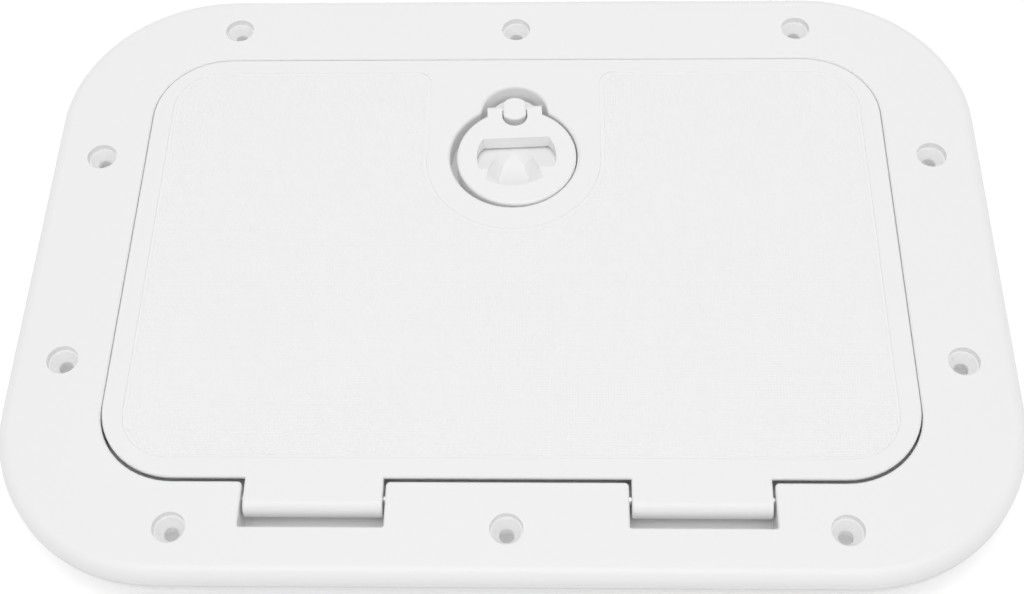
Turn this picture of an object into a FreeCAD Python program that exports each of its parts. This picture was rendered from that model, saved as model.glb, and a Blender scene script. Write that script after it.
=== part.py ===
"""Deck access hatch: a moulded frame, a hinged lid and a flush lift-and-turn latch.

Millimetres. +X runs along the hinge line, +Y points from the hinges to the latch, +Z is up.
The origin is the centre of the screw pattern on the deck surface, under the flange.
"""
import FreeCAD, Part
import math
import os

Vector = FreeCAD.Vector
UP = Vector(0, 0, 1)
ALONG_X = Vector(1, 0, 0)

# Frame moulding
FRAME_LENGTH = 375.0
FRAME_WIDTH = 270.0
FRAME_CORNER_R = 66.0
FLANGE_HEIGHT = 9.5
FLANGE_SKIN = 3.5
FLANGE_EDGE_R = 5.0
SKIRT_WALL = 3.0
EDGE_GROOVE_LIFT = 1.8
EDGE_GROOVE_HEIGHT = 0.8
EDGE_GROOVE_DEPTH = 0.4
FLANGE_WIDTH_SIDE = 37.7
FLANGE_WIDTH_FAR = 35.4
FLANGE_WIDTH_NEAR = 37.1
OPENING_CORNER_R = 30.0
OPENING_EDGE_CHAMFER = 0.5
COLLAR_WALL = 3.0
COLLAR_DROP = 20.5
LEDGE_DROP = 11.1
LEDGE_WIDTH = 10.5
LEDGE_THICKNESS = 2.5
SEAL_RAIL_WIDTH = 2.5
SEAL_RAIL_HEIGHT = 4.1
RIB_WALL = 2.0
RIB_CLEAR_OF_DECK = 0.8
RIB_SPACING_X = 30.0
RIB_SPACING_Y = 24.0

# Screw holes, counted from the edge of the frame
HOLE_EDGE_ROW = 19.0
HOLE_EDGE_SIDE = 20.0
ROW_PITCH = 118.5
SIDE_PITCH = 96.0
SCREW_HOLE_D = 5.4
COUNTERBORE_D = 11.8
COUNTERBORE_DEPTH = 2.6
COUNTERBORE_STEP = 0.75
COUNTERSINK_DEPTH = 3.6
BOSS_WALL = 2.2

# Lid moulding
LID_GAP_SIDE = 0.3
LID_GAP_FAR = 0.25
LID_GAP_NEAR = 1.6
LID_SKIN = 3.5
LID_EDGE_CHAMFER = 0.5
LID_HEEL_CHAMFER = 2.0
LID_RIB_DEPTH = 6.0
LID_RIB_WALL = 2.0
LID_RIB_PITCH_X = 48.0
LID_RIB_PITCH_Y = 42.0
PANEL_BORDER_SIDE = 7.8
PANEL_BORDER_FAR = 7.15
PANEL_BORDER_NEAR = 7.8
PANEL_CORNER_R = 19.0
PANEL_DEPTH = 0.4
PANEL_EDGE_SLOPE = 0.3
LATCH_PAD_R = 35.1
LATCH_PAD_REACH = 25.1
LATCH_PAD_FILLET = 6.0

# Lid seal
SEAL_WIDTH = 6.5
SEAL_REST_GAP = 0.3
SEAL_PROUD = 1.2
SEAL_GROOVE_WALL = 2.0
SEAL_GROOVE_GAP = 0.05

# Hinges
HINGE_SETBACK = 4.6
HINGE_DROP = 5.2
BARREL_R = 6.0
NOSE_R = 4.2
NOSE_REACH = 2.9
BARREL_FLOOR_GAP = 1.1
STRAP_PITCH = 137.6
STRAP_WIDTH = 49.6
STRAP_THICKNESS = 4.0
STRAP_EDGE_R = 0.8
SLOT_SIDE_GAP = 0.95
SLOT_REACH = 17.5
SLOT_CORNER_R = 0.8
SLOT_MOUTH_R = 1.6
POCKET_WALL = 2.5
PIN_D = 3.5
PIN_BORE_GAP = 0.08
PIN_SEAT_GAP = 0.02
PIN_BLOCK_WIDTH = 8.4
PIN_BLOCK_LENGTH = 3.5
PIN_END_INSET = 0.5

# Latch recess in the lid
LATCH_SETBACK = 27.05
RECESS_DEPTH = 10.0
RECESS_PLAY = 1.6
RECESS_SHIFT = 0.5
LOBE_R = 13.4
LOBE_SETBACK = 1.5
PLINTH_R = 10.7
PLINTH_GAP = 0.3
PLINTH_EDGE_CHAMFER = 0.4
NECK_FILLET_R = 3.5
RECESS_EDGE_R = 1.4
CUP_WALL = 2.2
CUP_FLOOR = 2.5
SPINDLE_BOSS_D = 16.0
SPINDLE_BOSS_DROP = 4.5

# Latch handle
HANDLE_R = 24.2
PIN_INSIDE_RIM = 0.1
HANDLE_REST_TURN = 2.7
HANDLE_INSET = 0.2
HANDLE_FLOOR_GAP = 0.6
HANDLE_SKIN = 2.2
HANDLE_WALL = 2.0
HANDLE_EDGE_R = 1.2
KNUCKLE_R = 3.0
EAR_HALF_WIDTH = 11.2
NECK_REACH = 13.5
NOTCH_SIDE_GAP = 0.4
NOTCH_REACH = 8.6
POCKET_R = 16.0
POCKET_FAR_OFFSET = 9.1
POCKET_DEPTH = 7.2
RAMP_LENGTH = 15.1
BOWL_WALL = 1.4
CREVICE_HEIGHT = 0.9
CREVICE_DEPTH = 1.0
SCOOP_SIDE_SHIFT = -1.3
SCOOP_DEPTH = 7.9
SCOOP_DEEPEST_OFFSET = 5.0
SCOOP_END_R = 20.5
SCOOP_END_OFFSET = 5.8
SCOOP_FLOOR_HALF_WIDTH = 2.5
SCOOP_FLOOR_SPREAD = 0.22
SCOOP_RIM_HALF_WIDTH = 5.4
SCOOP_RIM_SPREAD = 0.31
SCOOP_SECTIONS = 4
SCOOP_PAST_FLOOR = 0.5
SCOOP_PAST_END = 0.3

# Spindle, cam and small parts
HEAD_D = 11.6
HEAD_FLATS = 9.4
HEAD_PROUD = 0.7
HEAD_EDGE_R = 0.9
SHANK_D = 8.0
SHANK_BORE_GAP = 0.08
HEAD_FLOOR_GAP = 0.3
HANDLE_PIN_D = 3.0
HANDLE_PIN_GAP = 0.06
HANDLE_PIN_INSET = 0.2
SPINDLE_SEAL_SECTION = 1.5
SPINDLE_SEAL_GAP = 0.04
WASHER_D = 15.0
THRUST_WASHER_THICKNESS = 0.8
SPRING_WASHER_THICKNESS = 0.5
SPRING_WASHER_RISE = 0.7
STACK_GAP = 0.05
SQUARE_SIZE = 6.0
SQUARE_GAP = 0.05
CAM_THICKNESS = 4.0
CAM_HUB_R = 9.0
CAM_TIP_R = 5.5
CAM_REACH = 20.0
CAM_LEDGE_GAP = 0.6
CAM_LEAD_IN = 1.2
CAM_WASHER_THICKNESS = 1.0
SCREW_D = 4.0
SCREW_CORE_GAP = 0.03
SCREW_LENGTH = 9.0
SCREW_HEAD_FLATS = 7.0
SCREW_HEAD_HEIGHT = 2.8
CAM_WASHER_RIM = 1.0

# Extra length that carries a cut clear through what it cuts
PAST = 1.0

# Levels
TOP_Z = FLANGE_HEIGHT
SKIN_Z = TOP_Z - FLANGE_SKIN
LEDGE_Z = TOP_Z - LEDGE_DROP
LEDGE_BOTTOM_Z = LEDGE_Z - LEDGE_THICKNESS
SLOT_FLOOR_Z = min(TOP_Z - 2 * BARREL_R - BARREL_FLOOR_GAP, LEDGE_Z - BARREL_FLOOR_GAP)
COLLAR_BOTTOM_Z = -COLLAR_DROP
SEAL_RAIL_Z = LEDGE_Z + SEAL_RAIL_HEIGHT
LID_UNDER_Z = TOP_Z - LID_SKIN
SEAL_BOTTOM_Z = SEAL_RAIL_Z + SEAL_REST_GAP
SEAL_GROOVE_Z = SEAL_BOTTOM_Z + SEAL_PROUD
LID_RIB_Z = LID_UNDER_Z - LID_RIB_DEPTH
RECESS_Z = TOP_Z - RECESS_DEPTH
CUP_BOTTOM_Z = RECESS_Z - CUP_FLOOR
BOSS_BOTTOM_Z = CUP_BOTTOM_Z - SPINDLE_BOSS_DROP
HANDLE_TOP_Z = TOP_Z - HANDLE_INSET
HANDLE_BOTTOM_Z = RECESS_Z + HANDLE_FLOOR_GAP

# Plan sizes and places
OPENING_LENGTH = FRAME_LENGTH - 2 * FLANGE_WIDTH_SIDE
OPENING_FAR_Y = FRAME_WIDTH / 2 - FLANGE_WIDTH_FAR
OPENING_NEAR_Y = -FRAME_WIDTH / 2 + FLANGE_WIDTH_NEAR
LID_LENGTH = OPENING_LENGTH - 2 * LID_GAP_SIDE
LID_FAR_Y = OPENING_FAR_Y - LID_GAP_FAR
LID_NEAR_Y = OPENING_NEAR_Y + LID_GAP_NEAR
LID_CORNER_R = OPENING_CORNER_R - LID_GAP_SIDE
HINGE_Y = OPENING_NEAR_Y - HINGE_SETBACK
HINGE_Z = TOP_Z - HINGE_DROP
SLOT_NEAR_Y = OPENING_NEAR_Y - SLOT_REACH
SLOT_WIDTH = STRAP_WIDTH + 2 * SLOT_SIDE_GAP
STRAP_X = STRAP_PITCH / 2
LATCH_Y = LID_FAR_Y - LATCH_SETBACK
HANDLE_REACH = HANDLE_R - PIN_INSIDE_RIM
HANDLE_CENTRE_Y = -HANDLE_REACH
HANDLE_PIN_Z = HANDLE_TOP_Z - KNUCKLE_R
PLINTH_Z = HANDLE_PIN_Z - KNUCKLE_R - PLINTH_GAP
HEAD_TOP_Z = TOP_Z + HEAD_PROUD
PIN_LENGTH = SLOT_WIDTH + 2 * (POCKET_WALL + PIN_BLOCK_LENGTH - PIN_END_INSET)

# Spindle stack, from the boss downwards
THRUST_TOP_Z = BOSS_BOTTOM_Z - STACK_GAP
SPRING_TOP_Z = THRUST_TOP_Z - THRUST_WASHER_THICKNESS - STACK_GAP
CAM_TOP_Z = SPRING_TOP_Z - SPRING_WASHER_RISE - SPRING_WASHER_THICKNESS - STACK_GAP
CAM_BOTTOM_Z = CAM_TOP_Z - CAM_THICKNESS
CAM_WASHER_TOP_Z = CAM_BOTTOM_Z - STACK_GAP
SCREW_SEAT_Z = CAM_WASHER_TOP_Z - CAM_WASHER_THICKNESS - STACK_GAP


def rounded_wire(x_low, x_high, y_low, y_high, radius, z):
    """A closed rectangle with round corners, drawn level at height z."""
    quarter = radius * math.sin(math.pi / 4)
    corners = (
        (x_high - radius, y_low + radius, 1, -1),
        (x_high - radius, y_high - radius, 1, 1),
        (x_low + radius, y_high - radius, -1, 1),
        (x_low + radius, y_low + radius, -1, -1),
    )
    ends = []
    for index, (cx, cy, sx, sy) in enumerate(corners):
        on_side = Vector(cx + sx * radius, cy, z)
        on_row = Vector(cx, cy + sy * radius, z)
        middle = Vector(cx + sx * quarter, cy + sy * quarter, z)
        enters_on_row = index in (0, 2)
        start = on_row if enters_on_row else on_side
        end = on_side if enters_on_row else on_row
        ends.append((start, middle, end))
    edges = []
    for index, (start, middle, end) in enumerate(ends):
        edges.append(Part.Arc(start, middle, end).toShape())
        edges.append(Part.LineSegment(end, ends[(index + 1) % 4][0]).toShape())
    return Part.Wire(edges)


def rounded_block(x_low, x_high, y_low, y_high, radius, z_low, z_high):
    """An upright block with round corners."""
    face = Part.Face(rounded_wire(x_low, x_high, y_low, y_high, radius, z_low))
    return face.extrude(Vector(0, 0, z_high - z_low))


def box(x_low, x_high, y_low, y_high, z_low, z_high):
    """A box between two corners."""
    return Part.makeBox(
        x_high - x_low, y_high - y_low, z_high - z_low, Vector(x_low, y_low, z_low))


def post(x, y, radius, z_low, z_high):
    """An upright cylinder."""
    return Part.makeCylinder(radius, z_high - z_low, Vector(x, y, z_low), UP)


def rod(x_low, x_high, y, z, radius):
    """A cylinder that lies along X."""
    return Part.makeCylinder(radius, x_high - x_low, Vector(x_low, y, z), ALONG_X)


def polygon_block(points, z_low, z_high):
    """An upright block on a closed outline of straight edges."""
    corners = [Vector(x, y, z_low) for x, y in points]
    face = Part.Face(Part.makePolygon(corners + corners[:1]))
    return face.extrude(Vector(0, 0, z_high - z_low))


def flat_sided_block(x, y, sides, across_flats, z_low, z_high):
    """An upright regular prism about a point, given its size across flats."""
    corner_r = across_flats / 2 / math.cos(math.pi / sides)
    points = []
    for index in range(sides):
        turn = 2 * math.pi * (index + 0.5) / sides
        points.append((x + corner_r * math.cos(turn), y + corner_r * math.sin(turn)))
    return polygon_block(points, z_low, z_high)


def fuse(shapes):
    """One solid from several that overlap or touch."""
    return shapes[0].multiFuse(shapes[1:]).removeSplitter()


def edges_where(shape, test):
    """The edges of a shape whose bounding box passes a test."""
    return [edge for edge in shape.Edges if test(edge.BoundBox)]


def is_level_at(bounds, z):
    """True if an edge lies flat at height z."""
    return abs(bounds.ZMin - z) < 1e-4 and abs(bounds.ZMax - z) < 1e-4


def is_upright(bounds):
    """True if an edge is vertical."""
    return bounds.XLength < 1e-4 and bounds.YLength < 1e-4 and bounds.ZLength > 1e-4


def opening_block(inset, z_low, z_high):
    """The frame's opening, drawn in by an inset, as an upright block."""
    return rounded_block(
        -OPENING_LENGTH / 2 + inset, OPENING_LENGTH / 2 - inset,
        OPENING_NEAR_Y + inset, OPENING_FAR_Y - inset,
        OPENING_CORNER_R - inset, z_low, z_high)


def frame_block(inset, z_low, z_high):
    """The frame's outline, drawn in by an inset, as an upright block."""
    return rounded_block(
        -FRAME_LENGTH / 2 + inset, FRAME_LENGTH / 2 - inset,
        -FRAME_WIDTH / 2 + inset, FRAME_WIDTH / 2 - inset,
        FRAME_CORNER_R - inset, z_low, z_high)


def hole_places():
    """The centres of the ten screw holes."""
    row_y = FRAME_WIDTH / 2 - HOLE_EDGE_ROW
    side_x = FRAME_LENGTH / 2 - HOLE_EDGE_SIDE
    rows = [(step * ROW_PITCH, side * row_y) for side in (-1, 1) for step in (-1, 0, 1)]
    sides = [(side * side_x, end * SIDE_PITCH / 2) for side in (-1, 1) for end in (-1, 1)]
    return rows + sides


def screw_hole_cut(x, y):
    """A counterbore, a step and a countersink that narrows to the screw hole."""
    bore_r = SCREW_HOLE_D / 2
    rim_r = COUNTERBORE_D / 2
    step_r = rim_r - COUNTERBORE_STEP
    step_z = TOP_Z - COUNTERBORE_DEPTH
    sink_z = step_z - COUNTERSINK_DEPTH
    sink = Part.makeCone(bore_r, step_r, COUNTERSINK_DEPTH, Vector(x, y, sink_z), UP)
    through = post(x, y, bore_r, -PAST, TOP_Z)
    return fuse([post(x, y, rim_r, step_z, TOP_Z + PAST), sink, through])


def pocket_block(centre_x, wall, z_low, z_high):
    """The room of one hinge slot, grown by a wall."""
    half = SLOT_WIDTH / 2 + wall
    return rounded_block(
        centre_x - half, centre_x + half, SLOT_NEAR_Y - wall,
        OPENING_NEAR_Y + LEDGE_WIDTH / 2, SLOT_CORNER_R + wall, z_low, z_high)


def barrel_well(centre_x):
    """The deeper room under one hinge barrel, in front of the ledge."""
    half = SLOT_WIDTH / 2
    return box(
        centre_x - half, centre_x + half, SLOT_NEAR_Y + SLOT_CORNER_R,
        OPENING_NEAR_Y, SLOT_FLOOR_Z, TOP_Z)


def flange_ribs(room):
    """Thin walls under the flange, cut to the room that they stiffen."""
    z_low = RIB_CLEAR_OF_DECK
    half = RIB_WALL / 2
    reach_x = FRAME_LENGTH / 2
    reach_y = FRAME_WIDTH / 2
    walls = []
    for step in (-3, -2, -1, 1, 2, 3):
        x = step * RIB_SPACING_X
        walls.append(box(x - half, x + half, -reach_y, reach_y, z_low, TOP_Z))
    for step in (-3, -1, 1, 3):
        y = step * RIB_SPACING_Y
        walls.append(box(-reach_x, reach_x, y - half, y + half, z_low, TOP_Z))
    for side_x in (-1, 1):
        for side_y in (-1, 1):
            corner = Vector(
                side_x * (reach_x - FRAME_CORNER_R), side_y * (reach_y - FRAME_CORNER_R), 0)
            wall = box(0, FRAME_CORNER_R, -half, half, z_low, TOP_Z)
            turn = math.degrees(math.atan2(side_y, side_x))
            wall.rotate(Vector(0, 0, 0), UP, turn)
            wall.translate(corner)
            walls.append(wall)
    return [room.common(wall) for wall in walls]


def pin_end_blocks(centre_x):
    """Two blocks outside a hinge pocket that hold the ends of its pin."""
    inner = SLOT_WIDTH / 2 + POCKET_WALL / 2
    outer = SLOT_WIDTH / 2 + POCKET_WALL + PIN_BLOCK_LENGTH
    half = PIN_BLOCK_WIDTH / 2
    low_z = HINGE_Z - half
    return [
        box(centre_x + min(side * inner, side * outer), centre_x + max(side * inner, side * outer),
            HINGE_Y - half, HINGE_Y + half, low_z, SKIN_Z + FLANGE_SKIN / 2)
        for side in (-1, 1)]


def make_frame():
    """The frame: flange, skirt, collar, seal ledge and rail, hinge pockets, bosses and ribs."""
    flange = frame_block(0, 0, TOP_Z)
    rim = edges_where(flange, lambda bounds: is_level_at(bounds, TOP_Z))
    flange = flange.makeFillet(min(FLANGE_EDGE_R, 0.9 * FLANGE_HEIGHT), rim)
    groove_top_z = EDGE_GROOVE_LIFT + EDGE_GROOVE_HEIGHT
    groove = frame_block(-PAST, EDGE_GROOVE_LIFT, groove_top_z).cut(
        frame_block(EDGE_GROOVE_DEPTH, EDGE_GROOVE_LIFT - PAST, groove_top_z + PAST))
    flange = flange.cut(groove)
    under = frame_block(SKIRT_WALL, -PAST, SKIN_Z)
    flange = flange.cut(under)

    collar = opening_block(-COLLAR_WALL, COLLAR_BOTTOM_Z, SKIN_Z + FLANGE_SKIN / 2)
    pocket_low_z = SLOT_FLOOR_Z - POCKET_WALL
    pockets = [
        pocket_block(side * STRAP_X, POCKET_WALL, pocket_low_z, SKIN_Z + FLANGE_SKIN / 2)
        for side in (-1, 1)]
    room = frame_block(SKIRT_WALL / 2, 0, SKIN_Z + FLANGE_SKIN / 2)
    room = room.cut(opening_block(-COLLAR_WALL / 2, -PAST, TOP_Z))
    boss_flats = COUNTERBORE_D + 2 * BOSS_WALL
    bosses = [
        flat_sided_block(x, y, 8, boss_flats, 0, SKIN_Z + FLANGE_SKIN / 2)
        for x, y in hole_places()]
    pin_blocks = pin_end_blocks(-STRAP_X) + pin_end_blocks(STRAP_X)
    body = fuse([flange, collar] + pockets + bosses + flange_ribs(room) + pin_blocks)

    body = body.cut(opening_block(0, LEDGE_Z, TOP_Z + PAST))
    body = body.cut(opening_block(LEDGE_WIDTH, COLLAR_BOTTOM_Z - PAST, LEDGE_Z + PAST))
    body = body.cut(opening_block(0, COLLAR_BOTTOM_Z - PAST, LEDGE_BOTTOM_Z))
    rail = opening_block(LEDGE_WIDTH - SEAL_RAIL_WIDTH, LEDGE_BOTTOM_Z, SEAL_RAIL_Z)
    rail = rail.cut(opening_block(LEDGE_WIDTH, LEDGE_BOTTOM_Z - PAST, SEAL_RAIL_Z + PAST))
    body = fuse([body, rail])

    slots = [pocket_block(side * STRAP_X, 0, LEDGE_Z, TOP_Z + PAST) for side in (-1, 1)]
    rail_room = opening_block(LEDGE_WIDTH / 2, LEDGE_Z, TOP_Z + PAST)
    bores = [
        rod(side * STRAP_X - PIN_LENGTH, side * STRAP_X + PIN_LENGTH, HINGE_Y, HINGE_Z,
            PIN_D / 2 + PIN_SEAT_GAP)
        for side in (-1, 1)]
    for slot in slots:
        body = body.cut(slot.cut(rail_room))
    for side in (-1, 1):
        body = body.cut(barrel_well(side * STRAP_X))
    body = round_slot_mouths(body.removeSplitter())
    holes = [screw_hole_cut(x, y) for x, y in hole_places()]
    for side, bore in zip((-1, 1), bores):
        reach = SLOT_WIDTH / 2 + POCKET_WALL + PIN_BLOCK_LENGTH + PAST
        span = box(side * STRAP_X - reach, side * STRAP_X + reach,
                   HINGE_Y - PIN_BLOCK_WIDTH, HINGE_Y + PIN_BLOCK_WIDTH, LEDGE_Z, TOP_Z)
        holes.append(bore.common(span))
    for hole in holes:
        body = body.cut(hole)
    return break_opening_edge(body.removeSplitter())


def round_slot_mouths(body):
    """The upright corners where the hinge slots meet the opening, rounded."""
    half = SLOT_WIDTH / 2

    def on_mouth(bounds):
        beside_slot = abs(abs(abs(bounds.XMin) - STRAP_X) - half) < 1e-3
        at_opening = abs(bounds.YMin - OPENING_NEAR_Y) < 1e-3
        return is_upright(bounds) and beside_slot and at_opening and bounds.ZMax > SKIN_Z

    return body.makeFillet(min(SLOT_MOUTH_R, HINGE_SETBACK / 2), edges_where(body, on_mouth))


def break_opening_edge(body):
    """The top edges of the opening and the hinge slots, lightly broken."""
    reach_x = OPENING_LENGTH / 2 + PAST / 2
    low_y = SLOT_NEAR_Y - PAST / 2
    high_y = OPENING_FAR_Y + PAST / 2

    def on_opening(bounds):
        inside = bounds.XMin > -reach_x and bounds.XMax < reach_x
        inside = inside and bounds.YMin > low_y and bounds.YMax < high_y
        is_hole = bounds.XLength < COUNTERBORE_D + PAST and bounds.YLength > COUNTERBORE_D - PAST
        return is_level_at(bounds, TOP_Z) and inside and not is_hole

    size = min(OPENING_EDGE_CHAMFER, COLLAR_WALL / 3)
    return body.makeChamfer(size, edges_where(body, on_opening))


def lid_block(inset, z_low, z_high):
    """The lid's outline, drawn in by an inset, as an upright block."""
    return rounded_block(
        -LID_LENGTH / 2 + inset, LID_LENGTH / 2 - inset,
        LID_NEAR_Y + inset, LID_FAR_Y - inset,
        max(LID_CORNER_R - inset, PAST), z_low, z_high)


def seal_offset():
    """The distance from the opening's edge to the middle of the seal."""
    return LEDGE_WIDTH - SEAL_RAIL_WIDTH / 2


def recess_block(grow, z_low, z_high):
    """The keyhole of the latch recess about the spindle, grown by a wall."""
    circle_r = HANDLE_R + RECESS_PLAY + grow
    lobe_y = LATCH_Y - LOBE_SETBACK
    circle = post(0, LATCH_Y - HANDLE_REACH + RECESS_SHIFT, circle_r, z_low, z_high)
    lobe = post(0, lobe_y, LOBE_R + grow, z_low, z_high)
    keyhole = fuse([circle, lobe])
    necks = edges_where(keyhole, is_upright)
    necks = [edge for edge in necks if abs(edge.BoundBox.YMin - lobe_y) < LOBE_R / 2]
    return keyhole.makeFillet(NECK_FILLET_R + grow, necks)


def panel_cut():
    """The shallow field of the non-slip panel, which stops at the latch pad."""
    low_x = -LID_LENGTH / 2 + PANEL_BORDER_SIDE
    low_y = LID_NEAR_Y + PANEL_BORDER_NEAR
    high_y = LID_FAR_Y - PANEL_BORDER_FAR
    floor_z = TOP_Z - PANEL_DEPTH
    floor = rounded_wire(
        low_x + PANEL_EDGE_SLOPE, -low_x - PANEL_EDGE_SLOPE, low_y + PANEL_EDGE_SLOPE,
        high_y - PANEL_EDGE_SLOPE, PANEL_CORNER_R - PANEL_EDGE_SLOPE, floor_z)
    rim = rounded_wire(low_x, -low_x, low_y, high_y, PANEL_CORNER_R, TOP_Z)
    field = Part.makeLoft([floor, rim], True, True)
    pad_y = LATCH_Y - LATCH_PAD_REACH
    pad = Part.makeCone(
        LATCH_PAD_R + PANEL_EDGE_SLOPE, LATCH_PAD_R, PANEL_DEPTH, Vector(0, pad_y, floor_z), UP)
    reach_y = high_y + PAST
    throat = polygon_block(
        [(-LATCH_PAD_R, pad_y), (LATCH_PAD_R, pad_y), (LATCH_PAD_R, reach_y),
         (-LATCH_PAD_R, reach_y)], floor_z, TOP_Z)
    ears = []
    fillet = LATCH_PAD_FILLET
    for side in (-1, 1):
        inner_x = side * LATCH_PAD_R
        outer_x = side * (LATCH_PAD_R + fillet)
        block = polygon_block(
            [(inner_x, high_y - fillet), (outer_x, high_y - fillet), (outer_x, reach_y),
             (inner_x, reach_y)], floor_z, TOP_Z)
        ears.append(block.cut(post(outer_x, high_y - fillet, fillet, floor_z - PAST, TOP_Z + PAST)))
    return field.cut(fuse([pad, throat] + ears))


def rolled_barrel(x_low, x_high):
    """A hinge barrel with a tighter nose ahead of the pin, both flush with the lid's top."""
    barrel_z = TOP_Z - BARREL_R
    nose_y = HINGE_Y - NOSE_REACH
    nose_z = TOP_Z - NOSE_R
    under = 2 * math.atan2(nose_z - barrel_z, nose_y - HINGE_Y) - math.pi / 2
    points = [
        Vector(x_low, HINGE_Y, barrel_z), Vector(x_low, HINGE_Y, TOP_Z), Vector(x_low, nose_y, TOP_Z),
        Vector(x_low, nose_y + NOSE_R * math.cos(under), nose_z + NOSE_R * math.sin(under)),
        Vector(x_low, HINGE_Y + BARREL_R * math.cos(under), barrel_z + BARREL_R * math.sin(under))]
    web = Part.Face(Part.makePolygon(points + points[:1])).extrude(Vector(x_high - x_low, 0, 0))
    barrel = rod(x_low, x_high, HINGE_Y, barrel_z, BARREL_R)
    return fuse([barrel, web, rod(x_low, x_high, nose_y, nose_z, NOSE_R)])


def strap(centre_x):
    """One hinge strap: it runs on from the lid's top and rolls over into the barrel."""
    low_x = centre_x - STRAP_WIDTH / 2
    high_x = centre_x + STRAP_WIDTH / 2
    plate = box(low_x, high_x, HINGE_Y, LID_NEAR_Y + LID_HEEL_CHAMFER * 2,
                TOP_Z - STRAP_THICKNESS, TOP_Z)
    barrel = rolled_barrel(low_x, high_x)
    edge_r = min(STRAP_EDGE_R, STRAP_THICKNESS / 4)
    plate_rim = edges_where(
        plate, lambda bounds: is_level_at(bounds, TOP_Z) and bounds.XLength < 1e-4)
    barrel_rim = edges_where(barrel, lambda bounds: bounds.XLength < 1e-4)
    return fuse([plate.makeFillet(edge_r, plate_rim), barrel.makeFillet(edge_r, barrel_rim)])


def lid_ribs(room):
    """Stiffening walls under the lid, cut to the room inside the seal groove."""
    half = LID_RIB_WALL / 2
    reach_x = LID_LENGTH / 2
    walls = []
    for step in (-2, -1, 0, 1, 2):
        x = step * LID_RIB_PITCH_X
        walls.append(box(x - half, x + half, LID_NEAR_Y, LID_FAR_Y, LID_RIB_Z, TOP_Z))
    middle_y = (LID_NEAR_Y + LID_FAR_Y) / 2
    for step in (-1, 0, 1):
        y = middle_y + step * LID_RIB_PITCH_Y
        walls.append(box(-reach_x, reach_x, y - half, y + half, LID_RIB_Z, TOP_Z))
    return [room.common(wall) for wall in walls]


def seal_groove_walls():
    """The two walls under the lid that hold the seal between them."""
    reach = SEAL_WIDTH / 2 + SEAL_GROOVE_GAP
    z_high = LID_UNDER_Z + LID_SKIN / 2
    walls = []
    for low, high in ((-reach - SEAL_GROOVE_WALL, -reach), (reach, reach + SEAL_GROOVE_WALL)):
        outside = opening_block(seal_offset() + low, SEAL_GROOVE_Z, z_high)
        inside = opening_block(seal_offset() + high, SEAL_GROOVE_Z - PAST, z_high + PAST)
        walls.append(outside.cut(inside))
    return walls


def make_plinth():
    """The round plinth in the latch recess that the spindle's head turns on."""
    plinth = post(0, LATCH_Y, PLINTH_R, RECESS_Z - CUP_FLOOR / 2, PLINTH_Z)
    rim = edges_where(plinth, lambda bounds: is_level_at(bounds, PLINTH_Z))
    return plinth.makeChamfer(min(PLINTH_EDGE_CHAMFER, PLINTH_R / 4), rim)


def make_lid():
    """The lid: plate, hinge straps, seal groove, ribs, latch cup and sunken non-slip field."""
    plate = lid_block(0, LID_UNDER_Z, TOP_Z)
    top_rim = edges_where(plate, lambda bounds: is_level_at(bounds, TOP_Z))
    plate = plate.makeChamfer(min(LID_EDGE_CHAMFER, LID_SKIN / 4), top_rim)
    heel = edges_where(plate, lambda bounds: is_level_at(bounds, LID_UNDER_Z))
    plate = plate.makeChamfer(min(LID_HEEL_CHAMFER, 0.7 * LID_SKIN), heel)

    room_inset = seal_offset() + SEAL_WIDTH / 2 + SEAL_GROOVE_GAP + SEAL_GROOVE_WALL / 2
    room = opening_block(room_inset, LID_RIB_Z, LID_UNDER_Z + LID_SKIN / 2)
    cup = recess_block(CUP_WALL, CUP_BOTTOM_Z, LID_UNDER_Z + LID_SKIN / 2)
    boss = post(0, LATCH_Y, SPINDLE_BOSS_D / 2, BOSS_BOTTOM_Z, RECESS_Z - CUP_FLOOR / 2)
    straps = [strap(side * STRAP_X) for side in (-1, 1)]
    body = fuse([plate, cup, boss] + straps + seal_groove_walls() + lid_ribs(room))

    body = body.cut(recess_block(0, RECESS_Z, TOP_Z + PAST))
    body = fuse([body, make_plinth()])
    body = body.cut(post(0, LATCH_Y, SHANK_D / 2 + SHANK_BORE_GAP, BOSS_BOTTOM_Z - PAST, TOP_Z))
    body = body.cut(rod(-LID_LENGTH, LID_LENGTH, HINGE_Y, HINGE_Z, PIN_D / 2 + PIN_BORE_GAP))
    body = body.cut(panel_cut())
    rim_reach = HANDLE_R + RECESS_PLAY + PAST

    def on_recess_rim(bounds):
        near_latch = abs(bounds.XMin) < rim_reach and abs(bounds.XMax) < rim_reach
        return is_level_at(bounds, TOP_Z) and near_latch and bounds.YMax < LATCH_Y + LOBE_R

    rim = edges_where(body, on_recess_rim)
    rim = [edge for edge in rim if edge.BoundBox.YMin > LATCH_Y - HANDLE_REACH - rim_reach]
    return body.makeFillet(min(RECESS_EDGE_R, 0.7 * CUP_WALL), rim)


def make_seal():
    """The rubber seal that runs round in the lid's groove."""
    half = SEAL_WIDTH / 2
    outside = opening_block(seal_offset() - half, SEAL_BOTTOM_Z, LID_UNDER_Z)
    return outside.cut(opening_block(seal_offset() + half, SEAL_BOTTOM_Z - PAST, TOP_Z))


def make_hinge_pin(centre_x):
    """One hinge pin, cut straight from rod."""
    return rod(centre_x - PIN_LENGTH / 2, centre_x + PIN_LENGTH / 2, HINGE_Y, HINGE_Z, PIN_D / 2)


def place_on_spindle(shape):
    """Turns a part by the latch's rest angle and moves it to the spindle."""
    placed = shape.copy()
    placed.rotate(Vector(0, 0, 0), UP, HANDLE_REST_TURN)
    placed.translate(Vector(0, LATCH_Y, 0))
    return placed


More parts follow.
